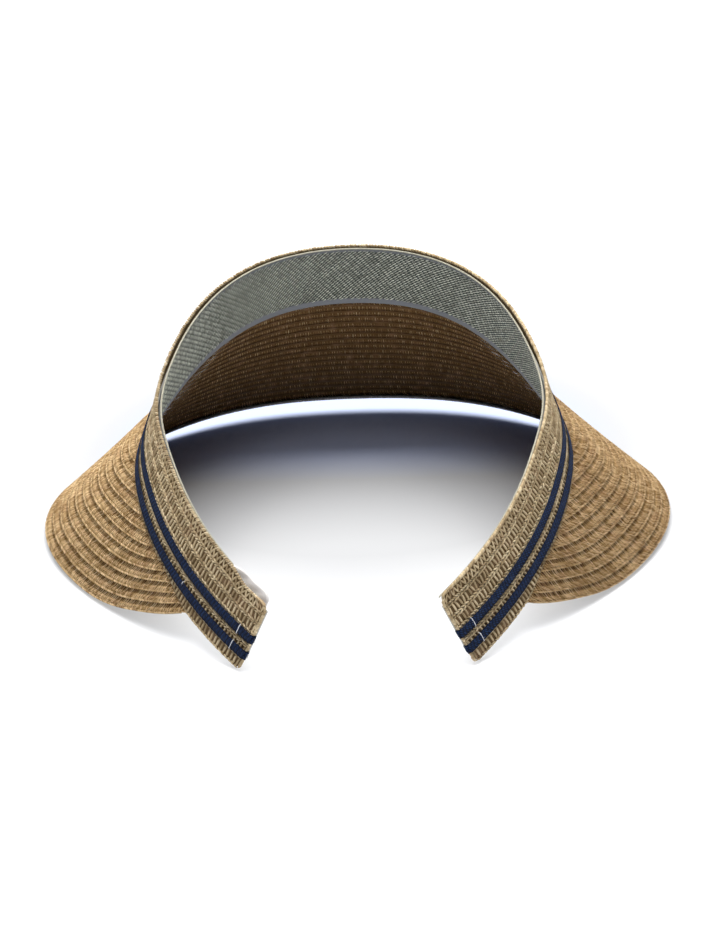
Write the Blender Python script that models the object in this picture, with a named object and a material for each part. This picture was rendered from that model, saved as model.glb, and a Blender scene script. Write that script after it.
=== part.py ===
"""Clip-on sun visor of stitched straw braid, standing on the tips of its arms and the edge of its brim.

Units are metres and +Z is up. The brim points to -Y and the wearer's left is +X. The origin is on the
floor, below the centre of the visor's bounding box. The band is a sprung C that stays open at the back.
Its outline is drawn as half a curve in the plane of its top edge and mirrored. Every strip is swept along
that curve: the parameter u runs from -1 at the right tip, through 0 at the front, to +1 at the left tip.
"""
import math

import bmesh
import bpy
import numpy as np

# The band's top edge, half of it: control points (x, y) of a clamped cubic B-spline, front to tip.
TOP_EDGE = ((0.0, -0.0944), (0.0510, -0.0944), (0.0819, -0.0190), (0.0742, 0.0167), (0.0562, 0.0681),
            (0.0301, 0.0971))
TOP_EDGE_SAG = 0.0023          # how far the tips drop below the plane of the top edge
SAG_START = 0.4                # where along the half that drop starts
RING_TILT = math.radians(23.1)   # the top edge's plane, raised at the front

# Angles and width along the half, as control values of the same kind of curve. Each starts with a pair
# of equal values, so that the two halves meet smoothly at the front.
BAND_LEAN = tuple(math.radians(a) for a in (-18.6, -18.6, 7.2, 35.6, 33.6, 34.7))   # outwards, going down
BRIM_DROOP = tuple(math.radians(a) for a in (71.2, 71.2, 50.7, 42.3, 48.3, 45.5))   # below the ring's plane
BRIM_WIDTH = (0.0955, 0.0955, 0.0905, 0.0475, 0.0387, 0.0)
BRIM_END = 0.90                # where the brim runs out into the band

# Heights of the band, measured down from its top edge.
BAND_HEIGHT = 0.0275           # above the brim
ARM_HEIGHT = 0.0310            # on the free arms
HEIGHT_BLEND = (0.82, 0.92)    # where the height grows from one to the other
BAND_ROWS = 6
ROW_PITCH = ARM_HEIGHT / BAND_ROWS
SEAM_GAP = 0.0003              # clearance between neighbouring strips

# Layers of the band, as (inner, outer) offsets from the middle of the spring hoop.
HOOP_LAYER = (-0.0003, 0.0003)
STRAW_LAYER = (0.0006, 0.0018)
RIBBON_LAYER = (0.0021, 0.0025)
SWEATBAND_LAYER = (-0.0012, -0.0006)
TACK_LAYER = (0.0028, 0.0032)

HOOP_SPAN = (0.0045, 0.0235)
RIBBONS = (("upper", (0.0155, 0.0190)), ("lower", (0.0225, 0.0260)))
SWEATBAND_TOP = 0.0015
STRAW_HEM = 0.0005             # how far the lowest row stops above the band's lower edge line
SWEATBAND_HEM = 0.0009         # and the sweatband
BINDING_CENTRE = (0.0004, -0.0009)   # below the top edge, offset
BINDING_RADIUS = 0.0007

# The brim: overlapping rows of braid, counted from the outer edge.
BRIM_ROWS = 18
BRIM_PITCH = BRIM_WIDTH[0] / BRIM_ROWS
BRIM_LAP = 0.0010              # how far each row lies over the next one out
BRAID_THICK = 0.0009
LAP_RISE = (BRAID_THICK + SEAM_GAP) * (BRIM_PITCH + BRIM_LAP) / BRIM_PITCH
BRIM_SEAM = 0.0012             # gap between the band's lower edge line and the rows
ROW_TIP = 0.0010               # width at which a row is cut off where it meets the band
EDGE_TIP = 0.0032              # the same for the edge's hem and wire
TURNBACK_WIDTH = 0.0050
TURNBACK_THICK = 0.0008
WIRE_RADIUS = 0.0004
WIRE_INSET = 0.0008            # from the outer edge to the wire's centre
WIRE_CLEAR = 0.0002

# The free arms flex on a line across the band, just beyond the brim.
ARM_SPLIT = 0.915
SPLIT_GAP = 0.0008
TIP_INSET = 0.0003             # the hoop and the sweatband stop this far short of the straw

TACK_FROM_TIP = 0.0065
TACK_WIDTH = 0.0005
TACK_REACH = 0.0004            # how far a tack runs past the ribbon on each side

STATIONS = 24                  # sweep steps along each half
ARM_STEPS = 4
ROUND_SIDES = 8

PAPER_STRAW = ("paper_straw", (0.60, 0.44, 0.25), 0.80)
DARK_STRAW = ("turned_straw", (0.47, 0.36, 0.22), 0.85)
NAVY_RIBBON = ("navy_ribbon", (0.018, 0.045, 0.14), 0.75)
SWEATBAND_TWILL = ("sweatband_twill", (0.42, 0.43, 0.36), 0.90)
CREAM_BINDING = ("cream_binding", (0.74, 0.70, 0.58), 0.85)
HOOP_PLASTIC = ("hoop_plastic", (0.80, 0.80, 0.78), 0.40)
NYLON_WIRE = ("nylon_wire", (0.65, 0.58, 0.44), 0.45)
WHITE_THREAD = ("white_thread", (0.85, 0.85, 0.86), 0.60)


def spline(values, t):
    """A clamped uniform cubic B-spline through control values or points, at t from 0 to 1."""
    points = [np.atleast_1d(np.array(v, dtype=float)) for v in values]
    spans = len(points) - 3
    knots = [0.0] * 3 + [i / spans for i in range(spans + 1)] + [1.0] * 3
    t = min(max(t, 0.0), 1.0)
    k = min(int(t * spans), spans - 1) + 3
    work = points[k - 3:k + 1]
    for level in range(1, 4):
        for j in range(3, level - 1, -1):
            left = knots[j + k - 3]
            right = knots[j + 1 + k - level]
            share = (t - left) / (right - left)
            work[j] = (1.0 - share) * work[j - 1] + share * work[j]
    return work[3]


def spline_number(values, t):
    return float(spline(values, t)[0])


def smooth_step(t):
    t = min(max(t, 0.0), 1.0)
    return t * t * (3.0 - 2.0 * t)


def unit(vector):
    return vector / np.linalg.norm(vector)


def band_height(u):
    """Height of the band at u, which is taller on the free arms than above the brim."""
    start, end = HEIGHT_BLEND
    return BAND_HEIGHT + (ARM_HEIGHT - BAND_HEIGHT) * smooth_step((abs(u) - start) / (end - start))


def brim_width(u):
    return spline_number(BRIM_WIDTH, abs(u) / BRIM_END)


def half_frame(t):
    """Top-edge point, level outward normal and up direction of the left half, in the ring's own frame."""
    step = 1e-4
    near = spline(TOP_EDGE, t - step)
    far = spline(TOP_EDGE, t + step)
    along = unit(far - near)
    drop = TOP_EDGE_SAG * min(max((t - SAG_START) / (1.0 - SAG_START), 0.0), 1.0) ** 2
    x, y = spline(TOP_EDGE, t)
    return np.array((x, y, -drop)), np.array((along[1], -along[0], 0.0)), np.array((0.0, 0.0, 1.0))


def tilted(vector, u):
    """Turn a vector of the left half to its own side, then raise the ring's front."""
    x, y, z = vector
    side = -1.0 if u < 0 else 1.0
    cos, sin = math.cos(RING_TILT), math.sin(RING_TILT)
    return np.array((side * x, y * cos + z * sin, z * cos - y * sin))


def band_point(u, below, out):
    """A point of the band at u, a distance below its top edge and offset outwards."""
    top, normal, up = half_frame(abs(u))
    lean = spline_number(BAND_LEAN, abs(u))
    down = normal * math.sin(lean) - up * math.cos(lean)
    outward = normal * math.cos(lean) + up * math.sin(lean)
    return tilted(top + below * down + out * outward, u)


def brim_point(u, reach, lift):
    """A point of the brim at u, a distance out from the band's lower edge and lifted off the surface."""
    top, normal, up = half_frame(abs(u))
    lean = spline_number(BAND_LEAN, abs(u))
    droop = spline_number(BRIM_DROOP, abs(u) / BRIM_END)
    base = top + band_height(u) * (normal * math.sin(lean) - up * math.cos(lean))
    outward = normal * math.cos(droop) - up * math.sin(droop)
    upward = normal * math.sin(droop) + up * math.cos(droop)
    return tilted(base + reach * outward + lift * upward, u)


def stations(start, end, steps=None):
    """Values of u from start to end: even steps, or the shared grid, so that layers bend alike."""
    if steps:
        return [start + (end - start) * i / steps for i in range(steps + 1)]
    margin = 0.25 / STATIONS
    grid = [i / STATIONS for i in range(-STATIONS, STATIONS + 1)]
    return [start] + [u for u in grid if start + margin < u < end - margin] + [end]


def plate_section(low, high, cuts=1):
    """Corners of a plate's section between two (position, bottom, top) edges, divided along its width."""
    share = [i / cuts for i in range(cuts + 1)]
    under = [(low[0] + s * (high[0] - low[0]), low[1] + s * (high[1] - low[1])) for s in share]
    over = [(low[0] + s * (high[0] - low[0]), low[2] + s * (high[2] - low[2])) for s in reversed(share)]
    return under + over


def round_section(centre, radius):
    turns = [2.0 * math.pi * i / ROUND_SIDES for i in range(ROUND_SIDES)]
    return [(centre[0] + radius * math.cos(a), centre[1] + radius * math.sin(a)) for a in turns]


def sweep(us, section_at, point_at):
    """Rings of points: the section at each station, placed on the band or the brim."""
    return [[point_at(u, *corner) for corner in section_at(u)] for u in us]


def band_strip(us, span, layer, cuts=1):
    """Rings of a flat strip of the band. span gives its upper and lower edge, as numbers or functions."""
    def section(u):
        upper, lower = (edge(u) if callable(edge) else edge for edge in span)
        return plate_section((upper, *layer), (lower, *layer), cuts)
    return sweep(us, section, band_point)


def arc_speed(u):
    """Length of the top edge per unit of u, for placing gaps of a real width."""
    step = 1e-3
    inner = abs(u) - step
    return float(np.linalg.norm(band_point(inner + step, 0.0, 0.0) - band_point(inner, 0.0, 0.0))) / step


def row_span(row):
    """Upper and lower edge of one row of braid of the band, with a seam gap below each but the last."""
    upper = row * ROW_PITCH
    if row == BAND_ROWS - 1:
        return upper, lambda u: band_height(u) - STRAW_HEM
    return upper, upper + ROW_PITCH - SEAM_GAP


def band_pieces(us, inner_us, prefix):
    """All strips of one length of the band, by name: rings and material."""
    pieces = {}
    for row in range(BAND_ROWS):
        pieces[f"{prefix}_straw_row_{row + 1}"] = (band_strip(us, row_span(row), STRAW_LAYER), PAPER_STRAW)
    for name, span in RIBBONS:
        pieces[f"{prefix}_{name}_ribbon"] = (band_strip(us, span, RIBBON_LAYER), NAVY_RIBBON)
    pieces[f"{prefix}_spring_hoop"] = (band_strip(inner_us, HOOP_SPAN, HOOP_LAYER, 4), HOOP_PLASTIC)
    sweat_span = (SWEATBAND_TOP, lambda u: band_height(u) - SWEATBAND_HEM)
    pieces[f"{prefix}_sweatband"] = (band_strip(inner_us, sweat_span, SWEATBAND_LAYER, 5), SWEATBAND_TWILL)
    section = round_section(BINDING_CENTRE, BINDING_RADIUS)
    pieces[f"{prefix}_binding"] = (sweep(inner_us, lambda u: section, band_point), CREAM_BINDING)
    return pieces


def arm_pieces(side, prefix):
    """The strips of one free arm, from the flex line to the tip, and the tacks that hold its ribbons."""
    half_gap = 0.5 * SPLIT_GAP / arc_speed(ARM_SPLIT)
    inset = TIP_INSET / arc_speed(1.0)
    us = sorted(side * u for u in stations(ARM_SPLIT + half_gap, 1.0, ARM_STEPS))
    inner_us = sorted(side * u for u in stations(ARM_SPLIT + half_gap, 1.0 - inset, ARM_STEPS))
    pieces = band_pieces(us, inner_us, prefix)
    middle = 1.0 - TACK_FROM_TIP / arc_speed(1.0)
    half_width = 0.5 * TACK_WIDTH / arc_speed(1.0)
    tack_us = sorted((side * (middle - half_width), side * (middle + half_width)))
    for name, (upper, lower) in RIBBONS:
        span = (upper - TACK_REACH, lower + TACK_REACH)
        pieces[f"{prefix}_{name}_tack"] = (band_strip(tack_us, span, TACK_LAYER), WHITE_THREAD)
    return pieces


def lap_lift(u, row, reach):
    """Underside of a brim row at a reach: nought at its hidden inner edge, LAP_RISE at its outer lip."""
    outer = brim_width(u) - row * BRIM_PITCH
    return LAP_RISE * (1.0 - (outer - reach) / (BRIM_PITCH + BRIM_LAP))


def brim_row_section(u, row):
    outer = brim_width(u) - row * BRIM_PITCH
    inner = max(outer - BRIM_PITCH - BRIM_LAP, BRIM_SEAM)
    edges = [(reach, lap_lift(u, row, reach), lap_lift(u, row, reach) + BRAID_THICK) for reach in (inner, outer)]
    return plate_section(*edges)


def brim_end(needed):
    """Value of u at which the brim has narrowed to a needed width."""
    low, high = 0.0, BRIM_END
    for _ in range(40):
        middle = 0.5 * (low + high)
        if brim_width(middle) >= needed:
            low = middle
        else:
            high = middle
    return low


def turnback_section(u):
    """The edge row's hem, folded under it and parallel to it, with room for the wire between."""
    below = 2.0 * WIRE_CLEAR + 2.0 * WIRE_RADIUS
    outer = brim_width(u)
    edges = []
    for reach in (max(outer - TURNBACK_WIDTH, BRIM_SEAM), outer):
        top = lap_lift(u, 0, reach) - below
        edges.append((reach, top - TURNBACK_THICK, top))
    return plate_section(*edges)


def wire_section(u):
    reach = brim_width(u) - WIRE_INSET
    return round_section((reach, lap_lift(u, 0, reach) - WIRE_CLEAR - WIRE_RADIUS), WIRE_RADIUS)


def brim_pieces():
    pieces = {}
    for row in range(BRIM_ROWS):
        end = brim_end(row * BRIM_PITCH + BRIM_SEAM + ROW_TIP)
        rings = sweep(stations(-end, end), lambda u: brim_row_section(u, row), brim_point)
        pieces[f"brim_row_{row + 1:02d}"] = (rings, PAPER_STRAW)
    end = brim_end(EDGE_TIP)
    us = stations(-end, end)
    pieces["brim_edge_turnback"] = (sweep(us, turnback_section, brim_point), DARK_STRAW)
    pieces["brim_edge_wire"] = (sweep(us, wire_section, brim_point), NYLON_WIRE)
    return pieces


def front_pieces():
    end = ARM_SPLIT - 0.5 * SPLIT_GAP / arc_speed(ARM_SPLIT)
    us = stations(-end, end)
    return band_pieces(us, us, "front")


def close_sweep(rings, offset):
    """A closed mesh through the rings, capped at both ends."""
    mesh = bmesh.new()
    loops = [[mesh.verts.new(point - offset) for point in ring] for ring in rings]
    count = len(loops[0])
    for near, far in zip(loops, loops[1:]):
        for i in range(count):
            j = (i + 1) % count
            mesh.faces.new((near[i], near[j], far[j], far[i]))
    mesh.faces.new(loops[0])
    mesh.faces.new(loops[-1])
    bmesh.ops.recalc_face_normals(mesh, faces=mesh.faces)
    return mesh


def material(finish):
    name, colour, roughness = finish
    made = bpy.data.materials.new(name)
    made.use_nodes = True
    shader = made.node_tree.nodes["Principled BSDF"]
    shader.inputs["Base Color"].default_value = (*colour, 1.0)
    shader.inputs["Roughness"].default_value = roughness
    shader.inputs["Metallic"].default_value = 0.0
    made.diffuse_color = (*colour, 1.0)
    return made


def add_piece(name, rings, finish, offset, parent=None):
    """One named object, swept through its rings, with its mesh measured from offset."""
    mesh = bpy.data.meshes.new(name)
    solid = close_sweep(rings, offset)
    solid.to_mesh(mesh)
    solid.free()
    mesh.materials.append(material((f"{finish[0]}_{name}", *finish[1:])))
    piece = bpy.data.objects.new(name, mesh)
    bpy.context.scene.collection.objects.link(piece)
    if parent:
        piece.parent = parent
    return piece


def add_hinge(name, side, origin):
    """An empty on the flex line of one arm, at mid height on the outer face of the straw."""
    hinge = bpy.data.objects.new(name, None)
    hinge.location = band_point(side * ARM_SPLIT, 0.5 * ARM_HEIGHT, STRAW_LAYER[1]) - origin
    bpy.context.scene.collection.objects.link(hinge)
    return hinge


def clear_scene():
    for old in list(bpy.data.objects):
        bpy.data.objects.remove(old, do_unlink=True)


def build():
    clear_scene()
    fixed = {**brim_pieces(), **front_pieces()}
    arms = {"left": arm_pieces(1, "left_arm"), "right": arm_pieces(-1, "right_arm")}
    every = [fixed, *arms.values()]
    points = [p for group in every for rings, _ in group.values() for ring in rings for p in ring]
    low, high = np.min(points, axis=0), np.max(points, axis=0)
    origin = np.array((0.0, 0.5 * (low[1] + high[1]), low[2]))
    for name, (rings, finish) in fixed.items():
        add_piece(name, rings, finish, origin)
    for side, pieces in arms.items():
        hinge = add_hinge(f"{side}_arm_hinge", 1 if side == "left" else -1, origin)
        centre = origin + np.array(hinge.location)
        for name, (rings, finish) in pieces.items():
            add_piece(name, rings, finish, centre, hinge)


build()
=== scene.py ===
"""A sun visor of sewn paper-straw braid, with an open band that clips round the head.

The band and the brim are laid course by course. Each course is modelled flat as one small
cell of plaited strands, repeated along its length, and then wrapped on to the band or brim.
Flat pieces have their length along X, their width along Y and their thickness along Z.
"""
import math

import bpy
import numpy as np
from mathutils import Matrix, Vector


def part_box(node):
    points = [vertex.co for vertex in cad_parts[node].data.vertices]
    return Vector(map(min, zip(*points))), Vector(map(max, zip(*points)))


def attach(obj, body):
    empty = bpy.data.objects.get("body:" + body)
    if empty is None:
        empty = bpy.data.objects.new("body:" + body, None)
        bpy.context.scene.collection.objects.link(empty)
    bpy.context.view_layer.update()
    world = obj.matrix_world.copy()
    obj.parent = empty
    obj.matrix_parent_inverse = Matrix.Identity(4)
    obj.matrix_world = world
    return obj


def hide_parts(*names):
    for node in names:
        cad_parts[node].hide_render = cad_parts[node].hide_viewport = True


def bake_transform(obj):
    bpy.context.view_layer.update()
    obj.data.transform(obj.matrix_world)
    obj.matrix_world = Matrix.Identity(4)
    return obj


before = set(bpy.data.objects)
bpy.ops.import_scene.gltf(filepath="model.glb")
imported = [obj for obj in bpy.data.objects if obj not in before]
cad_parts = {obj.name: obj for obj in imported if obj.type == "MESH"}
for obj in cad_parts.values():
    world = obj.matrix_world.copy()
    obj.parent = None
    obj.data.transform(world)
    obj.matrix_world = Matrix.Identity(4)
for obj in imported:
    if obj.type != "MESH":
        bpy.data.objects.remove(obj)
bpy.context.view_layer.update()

MM = 0.001

# The ring: the band's top edge from the middle of the front to the tip of an arm
TOP_EDGE = ((0.0, -.0944), (.0510, -.0944), (.0819, -.0190), (.0742, .0167), (.0562, .0681), (.0301, .0971))
TOP_EDGE_SAG = .0023
SAG_START = .4
RING_TILT = math.radians(23.1)

# The band: its lean from upright, in degrees, and its height at the front and on the arms
BAND_LEAN = (-18.6, -18.6, 7.2, 35.6, 33.6, 34.7)
BAND_HEIGHT = .0275
ARM_HEIGHT = .0310
HEIGHT_BLEND = (.82, .92)
BAND_COURSES = 6
BAND_PITCH = ARM_HEIGHT / BAND_COURSES
SWEATBAND_HEM = .0009

# The brim: how far it droops, in degrees, and its width from the front to where it ends
BRIM_DROOP = (71.2, 71.2, 50.7, 42.3, 48.3, 45.5)
BRIM_WIDTH = (.0955, .0955, .0905, .0475, .0387, 0.0)
BRIM_END = .90
BRIM_COURSES = 18
BRIM_PITCH = BRIM_WIDTH[0] / BRIM_COURSES
BRIM_LAP = .0010
BRIM_SEAM = .0001
SEAM_FLAT = .0035
TUCK_START = .0044
TUCK_LENGTH = .0018
TUCK_RISE = .00088
BRAID_THICK = .0009
LAP_RISE = (BRAID_THICK + .0003) * (BRIM_PITCH + BRIM_LAP) / BRIM_PITCH
COURSE_TIP = .0006
BACKING_LAP = .0032
EDGE_TIP = .0032
TURNBACK_WIDTH = .0050
TURNBACK_DROP = .0012

# Layers of the band, measured outwards from the middle of the spring hoop inside it
STRAW_LAYER = (.0006, .0018)
STRAW_LIFT = STRAW_LAYER[0]
RIBBON_LIFT = .0019
CLOTH_LIFT = -.0009
BINDING_OUT = -.0010

# What runs along the band, measured down from its top edge; the selvedge is measured up from the hem
RIBBONS = (("upper", .0155, .0190), ("lower", .0225, .0260))
STRAY_STITCH = (.0222, .0232)
BINDING_BELOW = .0012
SWEATBAND_TOP = .0015
SELVEDGE = .0020

# What stops or stands short of the tips
TIP_INSET = .0010
CLOTH_SHORT = .0036
TACK_FROM_TIP = .0065
FOLD_LENGTH = .0250
STITCH_FROM_TIP = .0400

# The tips: their rounded corners, the dip by the folded cloth, and the turn of the ribbons' ends
TOP_CORNER = .0045
LOW_CORNER = .0016
TIP_DIP = .0021
DIP_LENGTH = .0240
DIP_DEPTH = .0125
TURN_CENTRE = .0009
TURN_RADIUS = .0013
RIBBON_TURN = .0060

# Lengths at which each plait, twill or cord repeats, and the slants of the two twills
CELL = 1.15 * MM
LADDER = 1.95 * MM
PLY = 1.00 * MM
RIB = 1.60 * MM
RIB_SLANT = math.tan(math.radians(52.0))
RIBBON_RIB = .80 * MM
RIBBON_SLANT = math.tan(math.radians(35.0))

# The bend between the band and each arm, as shares of the ring's half
BEND = (.905, .945)

# The two halves of the band, with the sign of X on each
SIDES = {"left": 1, "right": -1}

# Grounds that close the gaps behind the strands: how far out each lies, and how thick it is
BRIM_GROUND = (.00030, .00016)
TURNBACK_GROUND = (-.00040, .00016)
BAND_GROUND = (.00086, .00024)
RIBBON_GROUND = (RIBBON_LIFT + .00018, .00030)
CLOTH_GROUND = (-.00075, .00030)
FOLD_GROUND = (-.00125, .00080)

# How far inside the edge of its course each ground of straw begins
BRIM_GROUND_INSET = .0006
TURNBACK_GROUND_INSET = .0008
BAND_GROUND_INSET = .0004

# Tones of a ground: its lower side, its upper side, which is painted dark as the shade in the gaps, and the
# sweatband's
LOWER_TONE = -.15
UPPER_PAINTED_SHADE_TONE = -1.0
CLOTH_TONE = -.2

# Woven floats: their length, width and thickness
RIBBON_FLOAT = (1.25 * MM, .74 * MM, .18 * MM)
RIB_FLOAT = (1.05 * MM, 1.04 * MM, .30 * MM)

# The folded end of the sweatband: its top edge and width, then the length and depth of its rise
# into sight and of its rounded corner
FOLD_TOP = -.0006
FOLD_WIDTH = .0058
FOLD_RISE = (.0090, .0020)
FOLD_CORNER = (.0030, .0018)

# Where each family of strands starts its own random draws
BRIM_SEED = 100
TURNBACK_SEED = 140
BAND_SEED = 200
ROLL_SEED = 250
RIBBON_SEED = 300
CLOTH_SEED = 400
BINDING_SEED = 500


# ---------------------------------------------------------------- the surfaces of the ring

def eased(way):
    """A share from 0 to 1 with a soft start and a soft end."""
    return way ** 2 * (3 - 2 * way)


def spline(values, share):
    """A clamped uniform cubic B-spline through the given poles."""
    poles = [np.atleast_1d(np.array(v, dtype=float)) for v in values]
    spans = len(poles) - 3
    knots = [0.0] * 3 + [i / spans for i in range(spans + 1)] + [1.0] * 3
    k = min(int(share * spans), spans - 1) + 3
    work = poles[k - 3:k + 1]
    for level in range(1, 4):
        for j in range(3, level - 1, -1):
            left = knots[j + k - 3]
            right = knots[j + 1 + k - level]
            part = (share - left) / (right - left)
            work[j] = (1 - part) * work[j - 1] + part * work[j]
    return work[3]


def sampled(values, shares):
    """The spline's value at each of the shares."""
    return np.array([spline(values, s) for s in shares])


HALF = np.linspace(0.0, 1.0, 1201)
TOPS = sampled(TOP_EDGE, HALF)
TANGENTS = np.gradient(TOPS, HALF, axis=0)
TANGENTS /= np.linalg.norm(TANGENTS, axis=1)[:, None]
SAGS = TOP_EDGE_SAG * np.clip((HALF - SAG_START) / (1 - SAG_START), 0, 1) ** 2
LEANS = np.radians(sampled(BAND_LEAN, HALF)[:, 0])
BRIM_SHARES = np.minimum(HALF / BRIM_END, 1.0)
DROOPS = np.radians(sampled(BRIM_DROOP, BRIM_SHARES)[:, 0])
WIDTHS = sampled(BRIM_WIDTH, BRIM_SHARES)[:, 0]
RISES = np.clip((HALF - HEIGHT_BLEND[0]) / (HEIGHT_BLEND[1] - HEIGHT_BLEND[0]), 0, 1)
HEIGHTS = BAND_HEIGHT + (ARM_HEIGHT - BAND_HEIGHT) * eased(RISES)


def at(table, u):
    """A value tabled along half of the ring, at u on either half."""
    return np.interp(np.abs(u), HALF, table)


def ring_points(u, outwards, upwards):
    """Points at a distance outwards from the top edge and a height over it, in the tilted ring."""
    x = at(TOPS[:, 0], u) + outwards * at(TANGENTS[:, 1], u)
    y = at(TOPS[:, 1], u) - outwards * at(TANGENTS[:, 0], u)
    z = upwards - at(SAGS, u)
    turn = (math.cos(RING_TILT), math.sin(RING_TILT))
    side = np.where(u < 0, -1.0, 1.0)
    return np.stack([side * x, y * turn[0] + z * turn[1], z * turn[0] - y * turn[1]], axis=-1)


def band_shape(u, below, out):
    """Points on the band, at a distance below its top edge and a lift out from its middle layer."""
    lean = at(LEANS, u)
    outwards = below * np.sin(lean) + out * np.cos(lean)
    upwards = out * np.sin(lean) - below * np.cos(lean)
    return ring_points(u, outwards, upwards)


def brim_shape(u, reach, lift):
    """Points on the brim, at a reach out from the band's lower edge and a lift over its surface."""
    lean, droop, height = at(LEANS, u), at(DROOPS, u), at(HEIGHTS, u)
    outwards = height * np.sin(lean) + reach * np.cos(droop) + lift * np.sin(droop)
    upwards = lift * np.cos(droop) - height * np.cos(lean) - reach * np.sin(droop)
    return ring_points(u, outwards, upwards)


def ring_home():
    """Where the ring lies in the frame: the first course's front matches the frame's."""
    low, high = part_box("front_straw_row_1")
    below = np.array([0.0, 0.0, BAND_PITCH, BAND_PITCH])
    corners = band_shape(np.zeros(4), below, np.array(STRAW_LAYER * 2))
    return np.array([0.0, low.y - corners[:, 1].min(), high.z - corners[:, 2].max()])


HOME = ring_home()


def arc(points):
    """The length along a line of points, up to each of them."""
    steps = np.linalg.norm(np.diff(points, axis=0), axis=1)
    return np.concatenate([[0.0], np.cumsum(steps)])


def share_at(lengths, x):
    """The ring's share u at a signed length from the middle of the front."""
    return np.sign(x) * np.interp(np.abs(x), lengths, HALF)


BAND_ARC = arc(band_shape(HALF, ARM_HEIGHT / 2, STRAW_LIFT))
BAND_HALF = BAND_ARC[-1] - TIP_INSET
TIP_WAY = np.diff(band_shape(np.array([.998, 1.0]), ARM_HEIGHT / 2, 0.0), axis=0)[0]
TIP_WAY /= np.linalg.norm(TIP_WAY)


def corner_inset(length, y):
    """How far the rounded corners of a tip draw a point back along the band."""
    inset = 0.0
    for radius, depth in ((TOP_CORNER, y), (LOW_CORNER, ARM_HEIGHT - y)):
        over = np.clip(radius - depth, 0, radius)
        inset = inset + radius - np.sqrt(radius ** 2 - over ** 2)
    return inset * np.clip(1 - (BAND_HALF - length) / (3 * TOP_CORNER), 0, 1) ** 2


def tip_dip(x, y):
    """How far the top rows sink near the left tip, where the folded cloth lies behind them."""
    way = np.clip((x - BAND_HALF + DIP_LENGTH) / (.5 * DIP_LENGTH), 0, 1)
    return TIP_DIP * eased(way) * np.clip(1 - y / DIP_DEPTH, 0, 1)


def on_band(hem, rounded=True):
    """Places flat points on the band: x along it, y below its top edge, z outwards."""
    def place(x, y, z):
        if rounded:
            x = x - np.sign(x) * corner_inset(np.abs(x), y)
            y = y + tip_dip(x, y)
        u = share_at(BAND_ARC, x)
        past = np.maximum(np.abs(x) - BAND_ARC[-1], 0)[:, None]
        points = band_shape(u, np.minimum(y, at(HEIGHTS, u) - hem), z)
        mirror = np.stack([np.sign(x), np.ones_like(x), np.ones_like(x)], axis=-1)
        return points + past * TIP_WAY * mirror + HOME
    return place


def round_tip(place):
    """Folds what runs past the tip round the braid's end and back along its inside."""
    def folded(x, y, z):
        past = np.maximum(np.abs(x) - BAND_HALF, 0)
        turn = np.minimum(past / TURN_RADIUS, math.pi)
        on = np.maximum(past - math.pi * TURN_RADIUS, 0)
        radius = z - TURN_CENTRE
        along = np.minimum(np.abs(x), BAND_HALF) + radius * np.sin(turn) - on
        lift = np.where(past > 0, TURN_CENTRE + radius * np.cos(turn), z)
        return place(np.sign(x) * along, y, lift)
    return folded


def brim_arc(row):
    """The length along the middle of a course of the brim, from the front to each share of the ring."""
    reach = np.maximum(WIDTHS - (row + .5) * BRIM_PITCH, BRIM_SEAM)
    return arc(brim_shape(HALF, reach, 0.0))


def brim_half(row, tip):
    """Half the length of a course of the brim: it ends where the brim is too narrow for it."""
    wide = HALF[WIDTHS > row * BRIM_PITCH + tip]
    return np.interp(wide[-1], HALF, brim_arc(row))


def on_brim(row, drop=0.0):
    """Places flat points on a course of the brim: y inwards from its lip, which rises over the next."""
    lengths = brim_arc(row)

    def place(x, y, z):
        u = share_at(lengths, x)
        lip = at(WIDTHS, u) - row * BRIM_PITCH
        inwards = np.minimum(y, lip - BRIM_SEAM)
        rise = LAP_RISE * (1 - inwards / (BRIM_PITCH + BRIM_LAP)) - drop
        tuck = np.clip((inwards - TUCK_START) / TUCK_LENGTH, 0, 1)
        if drop == 0:
            rise = rise + TUCK_RISE * eased(tuck)
        flatter = np.clip((lip - inwards) / SEAM_FLAT, 0, 1)
        return brim_shape(u, lip - inwards, rise * flatter + z) + HOME
    return place


# ---------------------------------------------------------------- modelling by hand

def pick(piece):
    """Leaves a piece selected alone, and active."""
    bpy.ops.object.select_all(action="DESELECT")
    piece.select_set(True)
    bpy.context.view_layer.objects.active = piece


def settle(piece):
    """Leaves a piece's object at the origin, with its place in its mesh."""
    pick(piece)
    bpy.ops.object.transform_apply(location=True, rotation=True, scale=True)
    return piece


def strand(stations, sides=6, across=True):
    """A tapered strand, extruded from section to section.

    Each station holds a centre's x, y and z, then half the width and half the height there, in mm.
    """
    bpy.ops.object.select_all(action="DESELECT")
    centres = [Vector(s[:3]) * MM for s in stations]
    turn = (math.pi / 2, 0, 0) if across else (0, math.pi / 2, 0)
    bpy.ops.mesh.primitive_circle_add(vertices=sides, radius=MM, fill_type="NGON", location=centres[0],
                                      rotation=turn)
    piece = bpy.context.object
    bpy.ops.object.mode_set(mode="EDIT")
    size = (1.0, 1.0)
    for step, (station, centre) in enumerate(zip(stations, centres)):
        if step:
            move = centre - centres[step - 1]
            bpy.ops.mesh.extrude_region_move(TRANSFORM_OT_translate={"value": move})
        wide, high = station[3] / size[0], station[4] / size[1]
        scale = (wide, 1, high) if across else (1, wide, high)
        bpy.ops.transform.resize(value=scale, center_override=centre)
        size = station[3:5]
    bpy.ops.mesh.select_all(action="SELECT")
    bpy.ops.mesh.normals_make_consistent(inside=False)
    bpy.ops.object.mode_set(mode="OBJECT")
    bpy.ops.object.shade_smooth()
    return settle(piece)


def number(piece, value):
    """Marks every point of a strand with its number in the cell."""
    mark = piece.data.attributes.new("strand", "FLOAT", "POINT")
    mark.data.foreach_set("value", np.full(len(piece.data.vertices), float(value)))
    return piece


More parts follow.
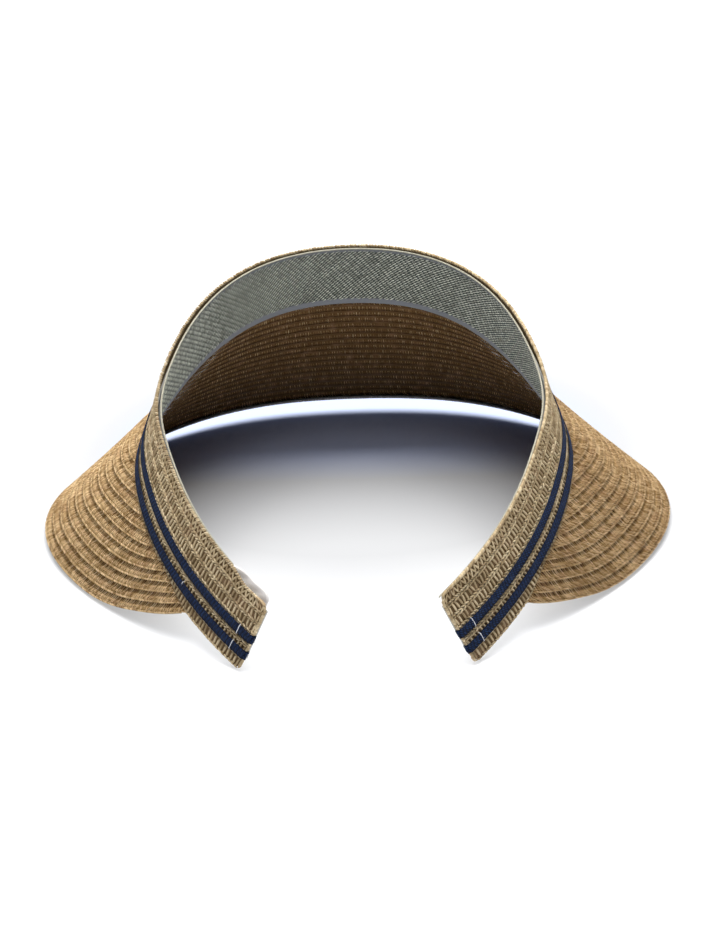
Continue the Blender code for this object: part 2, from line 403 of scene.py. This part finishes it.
def joined(name, pieces):
    """Joins pieces into the first, under a name."""
    bpy.ops.object.select_all(action="DESELECT")
    for piece in pieces:
        piece.select_set(True)
    bpy.context.view_layer.objects.active = pieces[0]
    if len(pieces) > 1:
        bpy.ops.object.join()
    pieces[0].name = name
    pieces[0].data.name = name
    return pieces[0]


def cell_of(strands):
    """Joins numbered strands into one cell of the plait."""
    return joined("cell", [number(s, i) for i, s in enumerate(strands)])


def copied(piece):
    """A copy with a mesh of its own."""
    other = piece.copy()
    other.data = piece.data.copy()
    bpy.context.collection.objects.link(other)
    return other


def repeated(piece, count, step):
    """Repeats a piece a number of times, a step apart, in one mesh."""
    pick(piece)
    array = piece.modifiers.new("repeat", "ARRAY")
    array.use_relative_offset = False
    array.use_constant_offset = True
    array.constant_offset_displace = step
    array.count = count
    bpy.ops.object.modifier_apply(modifier=array.name)
    return piece


def points_of(mesh):
    points = np.empty(len(mesh.vertices) * 3)
    mesh.vertices.foreach_get("co", points)
    return points.reshape(-1, 3)


def set_points(mesh, points):
    mesh.vertices.foreach_set("co", points.ravel())


def set_tone(mesh, values):
    tone = mesh.attributes.get("tone") or mesh.attributes.new("tone", "FLOAT", "POINT")
    tone.data.foreach_set("value", np.ascontiguousarray(values, dtype=np.float32))


def unsettle(piece, per_cell, strands, seed, shift, slant, lift):
    """Gives every strand its own tone, and a small shift, slant and lift, as hand-fed straw has."""
    mesh = piece.data
    rng = np.random.default_rng(seed)
    points = points_of(mesh)
    mark = np.empty(len(points))
    mesh.attributes["strand"].data.foreach_get("value", mark)
    which = (np.arange(len(points)) // per_cell) * strands + np.round(mark).astype(int)
    total = which.max() + 1
    middle = np.bincount(which, points[:, 1], total) / np.bincount(which, minlength=total)
    points[:, 0] += rng.normal(0, shift, total)[which]
    points[:, 0] += rng.normal(0, slant, total)[which] * (points[:, 1] - middle[which])
    points[:, 2] += np.clip(rng.normal(0, lift, total), -2 * lift, 2 * lift)[which]
    set_points(mesh, points)
    slow = .05 * np.sin(points[:, 0] / (7.3 * MM) + seed)
    quick = .03 * np.sin(points[:, 0] / (2.9 * MM) + 2 * seed)
    set_tone(mesh, np.clip(rng.beta(1.8, 1.5, total)[which] + slow + quick, .02, 1.0))
    mesh.attributes.remove(mesh.attributes["strand"])
    return piece


def backing(span, start, width, ground, step=2 * MM, rows=3):
    """A thin closed strip behind the strands, over a span and from start to start + width across."""
    bpy.ops.object.select_all(action="DESELECT")
    lift, thick = ground
    length = span[1] - span[0]
    columns = max(2, int(length / step))
    centre = ((span[0] + span[1]) / 2, start + width / 2, lift)
    bpy.ops.mesh.primitive_grid_add(x_subdivisions=columns, y_subdivisions=rows, size=1.0, location=centre)
    piece = bpy.context.object
    bpy.ops.object.mode_set(mode="EDIT")
    bpy.ops.transform.resize(value=(length, width, 1), center_override=centre)
    bpy.ops.object.mode_set(mode="OBJECT")
    settle(piece)
    wall = piece.modifiers.new("wall", "SOLIDIFY")
    wall.thickness = thick
    wall.offset = 0.0
    bpy.ops.object.modifier_apply(modifier=wall.name)
    # painted shade: the upper side takes the darkest tone, the shade seen through the gaps; the lower side a
    # dark straw tone
    set_tone(piece.data, np.where(points_of(piece.data)[:, 2] < lift, LOWER_TONE, UPPER_PAINTED_SHADE_TONE))
    return piece


def faced_outwards(piece):
    pick(piece)
    bpy.ops.object.mode_set(mode="EDIT")
    bpy.ops.mesh.select_all(action="SELECT")
    bpy.ops.mesh.normals_make_consistent(inside=False)
    bpy.ops.object.mode_set(mode="OBJECT")
    return piece


def wrapped(piece, place):
    """Lays a flat piece on its surface, and keeps its flat place in mm for its material."""
    mesh = piece.data
    flat = points_of(mesh)
    kept = mesh.attributes.new("flat", "FLOAT_VECTOR", "POINT")
    kept.data.foreach_set("vector", (flat / MM).astype(np.float32).ravel())
    set_points(mesh, place(*flat.T))
    mesh.update()
    return faced_outwards(piece)


# ---------------------------------------------------------------- shader maths

class Wire:
    """A socket in a material, with arithmetic that adds the nodes for it."""

    def __init__(self, tree, socket):
        self.tree, self.socket = tree, socket

    def math(self, operation, *values):
        return self.tree.add("ShaderNodeMath", {"operation": operation}, dict(enumerate(values)))

    def __add__(self, other):
        return self.math("ADD", self, other)

    def __radd__(self, other):
        return self.math("ADD", other, self)

    def __sub__(self, other):
        return self.math("SUBTRACT", self, other)

    def __rsub__(self, other):
        return self.math("SUBTRACT", other, self)

    def __mul__(self, other):
        return self.math("MULTIPLY", self, other)

    def __rmul__(self, other):
        return self.math("MULTIPLY", other, self)


class Finish:
    """A material whose nodes are added by type, settings and socket values."""

    def __init__(self, name):
        self.material = bpy.data.materials.new(name)
        self.material.use_nodes = True
        self.nodes = self.material.node_tree.nodes
        self.links = self.material.node_tree.links
        self.shader = self.nodes["Principled BSDF"]

    def add(self, kind, settings=None, sockets=None, output=0):
        node = self.nodes.new(kind)
        for name, value in (settings or {}).items():
            if name == "stops":
                self.set_stops(node.color_ramp, value)
            else:
                setattr(node, name, value)
        for name, value in (sockets or {}).items():
            self.put(node.inputs[name], value)
        return Wire(self, node.outputs[output])

    @staticmethod
    def set_stops(ramp, stops):
        while len(ramp.elements) < len(stops):
            ramp.elements.new(1.0)
        for element, (place, colour) in zip(ramp.elements, stops):
            element.position = place
            element.color = (*colour, 1.0)

    def put(self, socket, value):
        if isinstance(value, Wire):
            self.links.new(value.socket, socket)
        elif hasattr(value, "__len__") and len(value) == 3 and socket.type == "RGBA":
            socket.default_value = (*value, 1.0)
        else:
            socket.default_value = value

    def tone(self):
        return self.add("ShaderNodeAttribute", {"attribute_name": "tone"}, output=2)

    def flat(self):
        return self.add("ShaderNodeAttribute", {"attribute_name": "flat"}, output=1)

    def place(self):
        return self.add("ShaderNodeTexCoord", output=3)

    def stretched(self, vector, scale):
        return self.add("ShaderNodeMapping", {"vector_type": "POINT"}, {"Vector": vector, "Scale": scale})

    def noise(self, vector, scale, detail=2.0):
        return self.add("ShaderNodeTexNoise", {}, {"Vector": vector, "Scale": scale, "Detail": detail})

    def rescaled(self, value, low, high, first=0.0, last=1.0):
        """Takes low to first and high to last, and holds the ends."""
        return self.add("ShaderNodeMapRange", {}, {"Value": value, 1: low, 2: high, 3: first, 4: last})

    def ramp(self, value, stops):
        return self.add("ShaderNodeValToRGB", {"stops": stops}, {"Fac": value})

    def mix(self, factor, a, b, kind="MIX"):
        settings = {"data_type": "RGBA", "blend_type": kind}
        return self.add("ShaderNodeMix", settings, {0: factor, 6: a, 7: b}, output=2)

    def bump(self, height, strength, distance):
        return self.add("ShaderNodeBump", {}, {"Height": height, "Strength": strength, "Distance": distance})

    def set(self, **sockets):
        for name, value in sockets.items():
            self.put(self.shader.inputs[name.replace("_", " ")], value)
        return self.material


def straw_finish(name, painted_gap_shade, dark, middle, light, blush):
    """Flat twisted paper strands over gaps painted dark as shade, each in its own tone, with fine fibres
    along them.
    """
    f = Finish(name)
    tone = f.tone()
    fibres = f.noise(f.stretched(f.flat(), (5.0, 1.1, 4.0)), 1.0, 3.0)
    cloud = f.noise(f.place(), 70.0)
    shade = tone * .5 + .5 + (fibres - .5) * .36 + (cloud - .5) * .06
    # painted shade: the lowest stop is the dark of the shade seen in the gaps between strands
    colour = f.ramp(shade, [(0.0, painted_gap_shade), (.46, dark), (.74, middle), (1.0, light)])
    patches = f.noise(f.place(), 190.0, 1.0)
    colour = f.mix(f.rescaled(patches, .52, .78, 0.0, .30), colour, blush)
    creases = fibres * .7 + f.noise(f.place(), 2600.0) * .3
    return f.set(Base_Color=colour, Roughness=.58 + fibres * .2, Normal=f.bump(creases, .35, .00012),
                 Specular_IOR_Level=.22)


def twill_finish(name, painted_gap_shade, dark, light, slub, sheen):
    """Woven floats over a ground painted dark as the shade between them, with thread along each and slubs
    here and there.
    """
    f = Finish(name)
    tone = f.tone()
    threads = f.noise(f.stretched(f.flat(), (7.0, 2.0, 5.0)), 1.0, 2.0)
    shade = tone * .5 + .5 + (threads - .5) * .3
    colour = f.ramp(shade, [(0.0, painted_gap_shade), (.48, dark), (1.0, light)])
    slubs = f.noise(f.place(), 330.0, 1.0)
    colour = f.mix(f.rescaled(slubs, .55, .8, 0.0, .4), colour, slub)
    return f.set(Base_Color=colour, Roughness=.78 + threads * .15, Normal=f.bump(threads, .3, .0001),
                 Specular_IOR_Level=.25, Sheen_Weight=sheen)


def cloth_finish(name, ground, selvedge):
    """The ground of the sweatband, with a plain paler strip along each of its edges."""
    f = Finish(name)
    threads = f.noise(f.stretched(f.flat(), (2.5, 9.0, 5.0)), 1.0, 2.0)
    width = f.add("ShaderNodeSeparateXYZ", {}, {"Vector": f.flat()}, output=1)
    lower = f.rescaled(width, 24.1, 24.5)
    upper = f.rescaled(width, 2.4, 3.0, .8, 0.0)
    edge = f.mix(threads, selvedge, tuple(1.35 * c for c in selvedge))
    middle = f.mix(threads, ground, tuple(1.8 * c for c in ground))
    colour = f.mix(lower + upper, middle, edge)
    return f.set(Base_Color=colour, Roughness=.8 + threads * .15, Normal=f.bump(threads, .4, .00015),
                 Specular_IOR_Level=.25, Sheen_Weight=.2)


def cord_finish(name, dark, light):
    """Plied thread, darker in its grooves."""
    f = Finish(name)
    fine = f.noise(f.place(), 1500.0)
    colour = f.mix(fine, dark, light)
    return f.set(Base_Color=colour, Roughness=.7 + fine * .2, Normal=f.bump(fine, .3, .00008),
                 Specular_IOR_Level=.3)


def plastic_finish(name, colour, worn, rough):
    """Drawn or moulded plastic with a faint scuffed grain."""
    f = Finish(name)
    scuffs = f.noise(f.stretched(f.place(), (900.0, 900.0, 300.0)), 1.0)
    return f.set(Base_Color=f.mix(scuffs, colour, worn), Roughness=rough + scuffs * .2,
                 Normal=f.bump(scuffs, .1, .00005))


# The gap colours are painted shade: the dark seen in the gaps between strands and floats
STRAW = straw_finish("paper_straw", painted_gap_shade=(.036, .016, .003), dark=(.175, .090, .026),
                     middle=(.455, .295, .130), light=(.79, .585, .335), blush=(.46, .26, .145))
BAND_STRAW = straw_finish("band_straw", painted_gap_shade=(.130, .080, .034), dark=(.26, .180, .090),
                          middle=(.46, .350, .200), light=(.70, .57, .365), blush=(.47, .30, .18))
TURNED = straw_finish("turned_straw", painted_gap_shade=(.06, .05, .035), dark=(.24, .20, .14),
                      middle=(.38, .32, .23), light=(.50, .44, .34), blush=(.40, .33, .26))
NAVY = twill_finish("navy_ribbon", painted_gap_shade=(.001, .003, .012), dark=(.003, .011, .042),
                    light=(.009, .030, .095), slub=(.022, .036, .075), sheen=0.0)
TWILL = twill_finish("sweatband_twill", painted_gap_shade=(.07, .075, .06), dark=(.34, .345, .275),
                     light=(.84, .85, .71), slub=(.56, .54, .42), sheen=.2)
CLOTH = cloth_finish("sweatband_cloth", ground=(.060, .066, .054), selvedge=(.235, .24, .25))
FOLDED = cloth_finish("folded_cloth", ground=(.66, .63, .60), selvedge=(.66, .63, .60))
CREAM = cord_finish("cream_binding", dark=(.34, .32, .24), light=(.58, .55, .44))
THREAD = cord_finish("white_thread", dark=(.62, .62, .66), light=(.90, .90, .92))
HOOP = plastic_finish("hoop_plastic", colour=(.55, .54, .50), worn=(.45, .44, .40), rough=.4)
WIRE = plastic_finish("nylon_wire", colour=(.62, .60, .54), worn=(.50, .48, .42), rough=.25)


# ---------------------------------------------------------------- how pieces hang together

def finished(piece, material, replaced=()):
    """Gives a piece its material and slot, and hides the solids it stands for."""
    piece.data.materials.clear()
    piece.data.materials.append(material)
    if replaced:
        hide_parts(*replaced)
    return piece


def with_arm(piece, side):
    """Bakes the piece's place into its mesh; the ends of the bend to the arm are found but not used."""
    start, end = band_shape(SIDES[side] * np.array(BEND), ARM_HEIGHT / 2, 0.0) + HOME
    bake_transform(piece)


def band_nodes(side, name):
    """The solids that a half of the band stands for; the left half takes the whole front's."""
    nodes = [side + "_arm_" + name]
    if side == "left":
        nodes.append("front_" + name)
    return nodes


def half_span(side, past=0.0):
    """From the middle of the front to a length past the tip, as a span along X."""
    end = BAND_HALF + past
    return (0.0, end) if side == "left" else (-end, 0.0)


def laid_cells(cell, span, pitch, seed, strands, loose=1.0):
    """Copies of a cell end to end over a span, stretched a little to fill it."""
    count = round((span[1] - span[0]) / pitch)
    strip = copied(cell)
    per_cell = len(strip.data.vertices)
    repeated(strip, count, (pitch, 0, 0))
    unsettle(strip, per_cell, strands, seed, loose * .06 * MM, loose * .05, loose * .03 * MM)
    points = points_of(strip.data)
    points[:, 0] = span[0] + points[:, 0] * (span[1] - span[0]) / (count * pitch)
    set_points(strip.data, points)
    return strip


# ---------------------------------------------------------------- the brim

def brim_cell():
    """One rung of the brim's braid: open slits by the lap, a crossed face, and a rolled lip."""
    rung = strand([(.40, 6.4, .40, .18, .20), (.38, 5.2, .46, .22, .34), (.30, 4.0, .50, .24, .40),
                   (.04, 2.9, .46, .28, .36), (-.40, 1.6, .42, .28, .34), (-.62, .5, .36, .22, .24)],
                  sides=5)
    cross = strand([(-.72, 3.5, .50, .12, .14), (-.28, 2.6, .70, .24, .28), (.28, 1.5, .70, .25, .28),
                    (.70, .5, .48, .14, .16)], sides=5)
    wisp = strand([(.05, 2.8, .66, .07, .10), (.34, 1.9, .84, .15, .16), (.72, .9, .66, .07, .10)],
                  sides=4)
    lip = strand([(-.35, .95, .44, .16, .22), (.40, .48, .50, .34, .34), (1.22, .12, .42, .16, .20)],
                 sides=5, across=False)
    return cell_of([rung, cross, wisp, lip])


def turned_cell():
    """The turned-back tape under the edge: flat strands with a lip that closes up to the course above."""
    rung = strand([(.2, 4.8, -.35, .30, .14), (.1, 2.6, -.40, .50, .24), (-.1, .6, -.30, .46, .30)])
    lip = strand([(-.35, .60, .48, .18, .94), (.50, .42, .50, .30, 1.08), (1.40, .24, .48, .16, .92)],
                 sides=5, across=False)
    return cell_of([rung, lip])


def make_brim():
    """The courses of the brim from the outermost inwards, each lapped over the next one out."""
    cell = brim_cell()
    for row in range(BRIM_COURSES):
        half = brim_half(row, BRIM_SEAM + COURSE_TIP)
        strip = laid_cells(cell, (-half, half), CELL, BRIM_SEED + row, 4, loose=1.4)
        width = BRIM_PITCH + BRIM_LAP + BACKING_LAP - BRIM_GROUND_INSET
        ground = backing((-half, half), BRIM_GROUND_INSET, width, BRIM_GROUND, rows=9)
        course = wrapped(joined(f"brim_course_{row + 1:02d}", [strip, ground]), on_brim(row))
        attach(finished(course, STRAW, [f"brim_row_{row + 1:02d}"]), "root")
    bpy.data.objects.remove(cell)


def make_turnback():
    """The outermost course's braid, turned back under the brim's edge."""
    cell = turned_cell()
    half = brim_half(0, EDGE_TIP)
    strip = laid_cells(cell, (-half, half), CELL, TURNBACK_SEED, 2)
    ground = backing((-half, half), TURNBACK_GROUND_INSET, TURNBACK_WIDTH - .0010, TURNBACK_GROUND)
    edge = wrapped(joined("brim_turned_edge", [strip, ground]), on_brim(0, TURNBACK_DROP))
    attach(finished(edge, TURNED, ["brim_edge_turnback"]), "root")
    bpy.data.objects.remove(cell)


# ---------------------------------------------------------------- the band

def ladder_cell():
    """One rung of the band's braid, with a link of the chain along each of its edges."""
    rung = strand([(.85, .80, 1.00, .30, .24), (.90, 1.6, 1.20, .42, .46), (.98, 3.5, 1.20, .42, .46),
                   (1.04, 4.4, 1.00, .30, .24)])
    upper = strand([(-.20, .92, 1.16, .18, .22), (.90, .54, 1.34, .44, .46),
                    (2.12, .16, 1.14, .18, .22)], sides=5, across=False)
    lower = strand([(-.20, 4.30, 1.16, .18, .22), (.90, 4.68, 1.34, .44, .46),
                    (2.12, 5.02, 1.16, .18, .22)], sides=5, across=False)
    return cell_of([rung, upper, lower])


def zigzag_cell():
    """Two rungs of the top course, which lean together, under a plump rolled rim."""
    leaning = strand([(-.10, 1.3, 1.05, .26, .24), (.28, 2.2, 1.24, .36, .40), (.80, 3.4, 1.22, .36, .40),
                      (1.15, 4.4, 1.00, .26, .24)])
    back = strand([(2.05, 1.3, 1.05, .26, .24), (1.75, 2.2, 1.14, .36, .36), (1.25, 3.4, 1.26, .36, .36),
                   (.90, 4.4, 1.10, .26, .24)])
    edges = []
    for start in (0.0, 1.15):
        edges.append(strand([(start - .20, 1.08, 1.00, .30, .44), (start + .55, .60, 1.02, .60, .84),
                             (start + 1.32, .12, 1.00, .28, .44)], sides=6, across=False))
        edges.append(strand([(start - .12, 4.38, 1.16, .16, .22), (start + .55, 4.68, 1.34, .36, .44),
                             (start + 1.25, 4.98, 1.18, .16, .22)], sides=5, across=False))
    return cell_of([leaning, back, *edges])


def make_band_braid():
    """The six courses of the band; the top one is a zigzag and the others are ladders."""
    ladder, zigzag = ladder_cell(), zigzag_cell()
    for side in SIDES:
        span = half_span(side)
        for row in range(BAND_COURSES):
            cell, strands, pitch = (zigzag, 6, 2 * CELL) if row == 0 else (ladder, 3, LADDER)
            seed = BAND_SEED + 10 * row + (side == "left")
            strip = laid_cells(cell, span, pitch, seed, strands, loose=1.8)
            ground = backing(span, BAND_GROUND_INSET, BAND_PITCH - BAND_GROUND_INSET, BAND_GROUND)
            course = joined(f"{side}_band_course_{row + 1}", [strip, ground])
            course.data.transform(Matrix.Translation((0, row * BAND_PITCH, 0)))
            wrapped(course, on_band(0.0))
            finished(course, BAND_STRAW, band_nodes(side, f"straw_row_{row + 1}"))
            with_arm(course, side)
    bpy.data.objects.remove(ladder)
    bpy.data.objects.remove(zigzag)


def make_tip_rolls():
    """The braid's ends, turned in and whipped into a roll down each tip."""
    for side, sign in SIDES.items():
        x = sign * (BAND_HALF / MM + .15)
        link = strand([(x - sign * .30, -.10, .80, .30, .60), (x, .60, .80, .52, 1.02),
                       (x + sign * .18, 1.35, .80, .28, .60)])
        number(link, 0)
        link.data.transform(Matrix.Translation((0, .0002, 0)))
        per_cell = len(link.data.vertices)
        repeated(link, round((ARM_HEIGHT - .0012) / CELL), (0, CELL, 0))
        unsettle(link, per_cell, 1, ROLL_SEED + sign, .10 * MM, .05, .05 * MM)
        link.name = f"{side}_tip_roll"
        wrapped(link, on_band(0.0))
        finished(link, BAND_STRAW)
        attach(link, side + "_arm")


def woven(span, top, bottom, rib, slant, size, lift, seed, rise=.94, stagger=.5):
    """Rows of slanted floats over a span and from top to bottom, which stand proud of a ground cloth."""
    long, wide, thick = size
    half = long / 2 / MM
    lean = slant * half
    width, height = wide / 2 / MM, thick / 2 / MM
    ends = .45
    grain = strand([(-lean, -half, 0, width * ends, height * ends), (0, 0, height * .5, width, height),
                    (lean, half, 0, width * ends, height * ends)], sides=4)
    number(grain, 0)
    rows = max(1, int((bottom - top) / (long * rise)))
    step = (bottom - top) / rows
    grain.data.transform(Matrix.Translation((0, top + step / 2, lift)))
    per_cell = len(grain.data.vertices)
    count = round((span[1] - span[0]) / rib)
    length = span[1] - span[0]
    pitch = length / count
    repeated(grain, count, (pitch, 0, 0))
    repeated(grain, rows, (0, step, 0))
    unsettle(grain, per_cell, 1, seed, shift=.03 * MM, slant=.03, lift=.012 * MM)
    points = points_of(grain.data)
    floats = np.arange(len(points)) // per_cell
    column, line = floats % count, floats // count
    along = step * (line + column * stagger % 1 - .5)
    points[:, 1] += along - step * line
    moved = span[0] + pitch / 2 + slant * along
    over = moved + column * pitch > span[1]
    points[:, 0] += moved - np.where(over, length, 0.0)
    points[:, 1] = np.clip(points[:, 1], top - long * .1, bottom + long * .1)
    set_points(grain.data, points)
    return grain


def make_ribbons():
    """Two ribbons round the band, with their ends turned in behind the tips."""
    for side in SIDES:
        span = half_span(side, RIBBON_TURN)
        for index, (name, top, bottom) in enumerate(RIBBONS):
            seed = RIBBON_SEED + index + 10 * (side == "left")
            floats = woven(span, top + .0002, bottom - .0002, RIBBON_RIB, RIBBON_SLANT, RIBBON_FLOAT,
                           RIBBON_LIFT + .0003, seed)
            ground = backing(span, top, bottom - top, RIBBON_GROUND, rows=4)
            ribbon = joined(f"{side}_{name}_ribbon", [floats, ground])
            wrapped(ribbon, round_tip(on_band(0.0)))
            finished(ribbon, NAVY, band_nodes(side, name + "_ribbon"))
            with_arm(ribbon, side)


# ---------------------------------------------------------------- the sweatband

def make_sweatband():
    """The sweatband: a cloth inside the band, and the twill's ribs that stand on it."""
    width = ARM_HEIGHT - SWEATBAND_HEM - SWEATBAND_TOP
    for side in SIDES:
        span = half_span(side, -CLOTH_SHORT)
        cloth = backing(span, SWEATBAND_TOP, width, CLOTH_GROUND, rows=8)
        cloth.name = f"{side}_sweatband_cloth"
        set_tone(cloth.data, np.full(len(cloth.data.vertices), CLOTH_TONE))
        wrapped(cloth, on_band(SWEATBAND_HEM))
        finished(cloth, CLOTH, band_nodes(side, "sweatband"))
        bottom = BAND_HEIGHT - SWEATBAND_HEM - SELVEDGE
        floats = woven(span, SWEATBAND_TOP + .0008, bottom, RIB, RIB_SLANT, RIB_FLOAT, 0.0,
                       CLOTH_SEED + (side == "left"), rise=1.08, stagger=.38)
        points = points_of(floats.data)
        points[:, 2] = CLOTH_LIFT - points[:, 2]
        set_points(floats.data, points)
        floats.name = f"{side}_sweatband_ribs"
        wrapped(floats, on_band(SWEATBAND_HEM))
        finished(floats, TWILL)
        for piece in (cloth, floats):
            with_arm(piece, side)


def make_binding():
    """The rolled edge over the sweatband's top: a cord laid in two plies."""
    plies = []
    for turn in (1, -1):
        plies.append(strand([(-.7, turn * .20, 0, .18, .24), (.2, 0, turn * .18, .24, .26),
                             (1.1, -turn * .20, 0, .18, .24)], across=False))
    cell = cell_of(plies)
    for side in SIDES:
        span = half_span(side, -FOLD_LENGTH if side == "left" else 0.0)
        cord = laid_cells(cell, span, PLY, BINDING_SEED + (side == "left"), 2)
        points = points_of(cord.data)
        points[:, 1] += BINDING_BELOW
        points[:, 2] += BINDING_OUT
        set_points(cord.data, points)
        cord.name = f"{side}_binding"
        wrapped(cord, on_band(0.0))
        finished(cord, CREAM, band_nodes(side, "binding"))
        with_arm(cord, side)
    bpy.data.objects.remove(cell)


def make_sweatband_fold():
    """The sweatband's end, folded over so that it stands a little above the braid at the left tip."""
    start, end = BAND_HALF - FOLD_LENGTH - .0015, BAND_HALF - .0018
    fold = backing((start, end), FOLD_TOP, FOLD_WIDTH, FOLD_GROUND, step=.7 * MM, rows=7)
    points = points_of(fold.data)
    rise_length, hidden = FOLD_RISE
    corner_length, drop = FOLD_CORNER
    rise = np.clip((points[:, 0] - start) / rise_length, 0, 1)
    points[:, 1] += hidden * (1 - eased(rise))
    points[:, 1] += drop * np.clip((points[:, 0] - end + corner_length) / corner_length, 0, 1) ** 2
    points[:, 2] += .00012 * np.sin(points[:, 0] / .0013 + points[:, 1] / .0011)
    set_points(fold.data, points)
    fold.name = "left_sweatband_fold"
    wrapped(fold, on_band(SWEATBAND_HEM, rounded=False))
    rounded = fold.modifiers.new("rounded", "SUBSURF")
    rounded.levels = 1
    bpy.ops.object.modifier_apply(modifier=rounded.name)
    bpy.ops.object.shade_smooth()
    finished(fold, FOLDED)
    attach(fold, "left_arm")


def thread_loop(name, side, from_tip, top, bottom):
    """A loop of white thread across a ribbon."""
    x = SIDES[side] * (BAND_HALF - from_tip) / MM
    low, high = (top - .0004) / MM, (bottom + .0004) / MM
    tack = strand([(x, low, 1.9, .10, .12), (x + .05, low + .4, 2.50, .14, .12),
                   (x + .12, (low + high) / 2, 2.56, .15, .12), (x + .05, high - .4, 2.50, .14, .12),
                   (x, high, 1.9, .10, .12)], sides=8)
    tack.name = name
    wrapped(tack, on_band(0.0))
    return tack


def make_tacks():
    """A tack over each ribbon near the tip, and one stray stitch further along the left arm."""
    for side in SIDES:
        for name, top, bottom in RIBBONS:
            tack = thread_loop(f"{side}_{name}_tack", side, TACK_FROM_TIP, top, bottom)
            finished(tack, THREAD, [f"{side}_arm_{name}_tack"])
            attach(tack, side + "_arm")
    stitch = thread_loop("left_stray_stitch", "left", STITCH_FROM_TIP, *STRAY_STITCH)
    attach(finished(stitch, THREAD), "left_arm")


def make_inner_parts():
    """The spring hoop and the brim's wire keep their solids, and get their finishes."""
    for name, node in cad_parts.items():
        if "hoop" in name or "wire" in name:
            finish = HOOP if "hoop" in name else WIRE
            for place in node.material_slots:
                place.material = finish


# ---------------------------------------------------------------- the studio

CAMERA_HEIGHT = math.radians(24.51)
CAMERA_SWING = math.radians(-.85)
CAMERA_ROLL = math.radians(-2.05)
CAMERA_AIM = Vector(HOME) + Vector((-2.47, 0.0, -25.78)) * MM
CAMERA_DISTANCE = .8862
CAMERA_LENS = 85.6


def make_camera():
    """Looks at the visor from behind and above."""
    level = math.cos(CAMERA_HEIGHT)
    across, along = math.sin(CAMERA_SWING) * level, math.cos(CAMERA_SWING) * level
    back = Vector((across, along, math.sin(CAMERA_HEIGHT)))
    bpy.ops.object.camera_add(location=CAMERA_AIM + back * CAMERA_DISTANCE)
    camera = bpy.context.object
    camera.rotation_euler = (-back).to_track_quat("-Z", "Y").to_euler()
    camera.rotation_euler.rotate_axis("Z", CAMERA_ROLL)
    camera.data.lens = CAMERA_LENS
    camera.data.clip_start = .01
    camera.data.clip_end = 20.0
    bpy.context.scene.camera = camera


# The floor's painted glow, a painted light, begins and is full at these distances from the shade's
# centre; its painted cool shade tint fades out between the others, outwards from the centre and towards the
# back
SHADE_CENTRE = (0.0, -.08, 0.0)
LIT_FROM = .11
LIT_BY = .26
SHADE_EDGE = (.085, .12)
SHADE_BACK = (-.075, -.045)


def make_floor():
    """A pale floor that glows with painted light away from the visor, with a painted cool tint in the deep
    shade under its brim.
    """
    bpy.ops.object.select_all(action="DESELECT")
    bpy.ops.mesh.primitive_plane_add(size=12.0, location=(0, 0, -.0002))
    floor = bpy.context.object
    floor.name = "floor"
    f = Finish("studio_floor")
    mottle = f.noise(f.place(), 4.0)
    offset = f.add("ShaderNodeVectorMath", {"operation": "SUBTRACT"}, {0: f.place(), 1: SHADE_CENTRE})
    spread = f.add("ShaderNodeVectorMath", {"operation": "LENGTH"}, {0: offset}, output=1)
    # painted light: the floor glows by itself away from the visor, lightening the shade there
    painted_glow = f.mix(f.rescaled(spread, LIT_FROM, LIT_BY), (0, 0, 0), (.9, .9, .9))
    back = f.add("ShaderNodeSeparateXYZ", {}, {"Vector": f.place()}, output=1)
    # painted shade: a cool blue tint painted on the floor in the deep shade under the brim
    painted_cool_shade = f.rescaled(back, *SHADE_BACK, 1.0, 0.0) * f.rescaled(spread, *SHADE_EDGE, 1.0, 0.0)
    plain = f.mix(mottle, (.455, .46, .47), (.465, .47, .48))
    colour = f.mix(painted_cool_shade, plain, (.495, .56, .76))
    f.set(Base_Color=colour, Roughness=.9 + mottle * .05, Emission_Color=painted_glow, Emission_Strength=1.0)
    floor.data.materials.append(f.material)


# Each light's name, its place, the Y it aims at, its size, power and colour
LIGHTS = (("overhead_softbox", (0.0, -.25, 1.2), -.25, 1.1, 33.5, (1.0, .99, .97)),
          ("back_fill", (0.0, 1.0, 1.7), 0.0, .9, 5.0, (.97, .98, 1.0)))
WORLD_COLOUR = (.50, .76, 1.35, 1.0)
WORLD_STRENGTH = .085


def make_lights():
    """A large softbox overhead, a weak fill from behind, and a faint cool world."""
    for name, place, aim, size, power, colour in LIGHTS:
        bpy.ops.object.light_add(type="AREA", location=place)
        light = bpy.context.object
        light.name = name
        light.data.size = size
        light.data.energy = power
        light.data.color = colour
        light.rotation_euler = (Vector((0, aim, .04)) - Vector(place)).to_track_quat("-Z", "Y").to_euler()
    world = bpy.data.worlds.new("studio")
    world.use_nodes = True
    background = world.node_tree.nodes["Background"]
    background.inputs["Color"].default_value = WORLD_COLOUR
    background.inputs["Strength"].default_value = WORLD_STRENGTH
    bpy.context.scene.world = world
    bpy.context.scene.view_settings.view_transform = "Standard"


make_camera()
make_brim()
make_turnback()
make_band_braid()
make_tip_rolls()
make_ribbons()
make_sweatband()
make_binding()
make_sweatband_fold()
make_tacks()
make_inner_parts()
make_floor()
make_lights()
